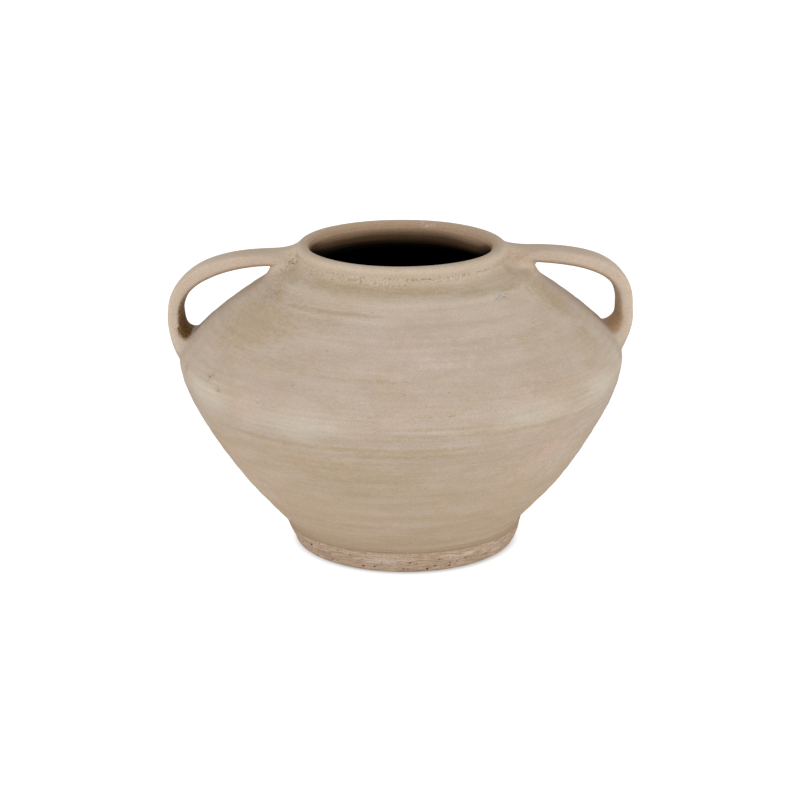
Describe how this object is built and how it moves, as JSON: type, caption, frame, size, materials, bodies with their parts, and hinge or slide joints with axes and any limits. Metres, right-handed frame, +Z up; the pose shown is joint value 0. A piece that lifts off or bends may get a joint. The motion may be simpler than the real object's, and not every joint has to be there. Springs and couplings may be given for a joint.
{
  "type": "two-handled clay jar",
  "caption": "Wide, low, unglazed earthenware jar with a rolled lip, strap handles and a ring foot, for storing and pouring.",
  "frame": {"origin": "on the jar's axis, on the surface that it stands on", "axes": "+Z up along the jar's axis, +X towards the right handle, +Y towards the back"},
  "size_m": [0.3649, 0.3448, 0.24],
  "materials": {
    "raw_clay": "matt unglazed clay, pitted, with pale streaks",
    "body_clay": "matt unglazed clay with a thin pale slip and fine throwing lines",
    "handle_clay": "matt unglazed clay, smoothed by hand"
  },
  "bodies": {
    "root": {"foot": "raw_clay", "lower_bowl": "body_clay", "shoulder": "body_clay", "neck": "body_clay", "left_handle": "handle_clay", "right_handle": "handle_clay", "left_upper_wad": "handle_clay", "left_lower_wad": "handle_clay", "right_upper_wad": "handle_clay", "right_lower_wad": "handle_clay"}
  },
  "joints": []
}
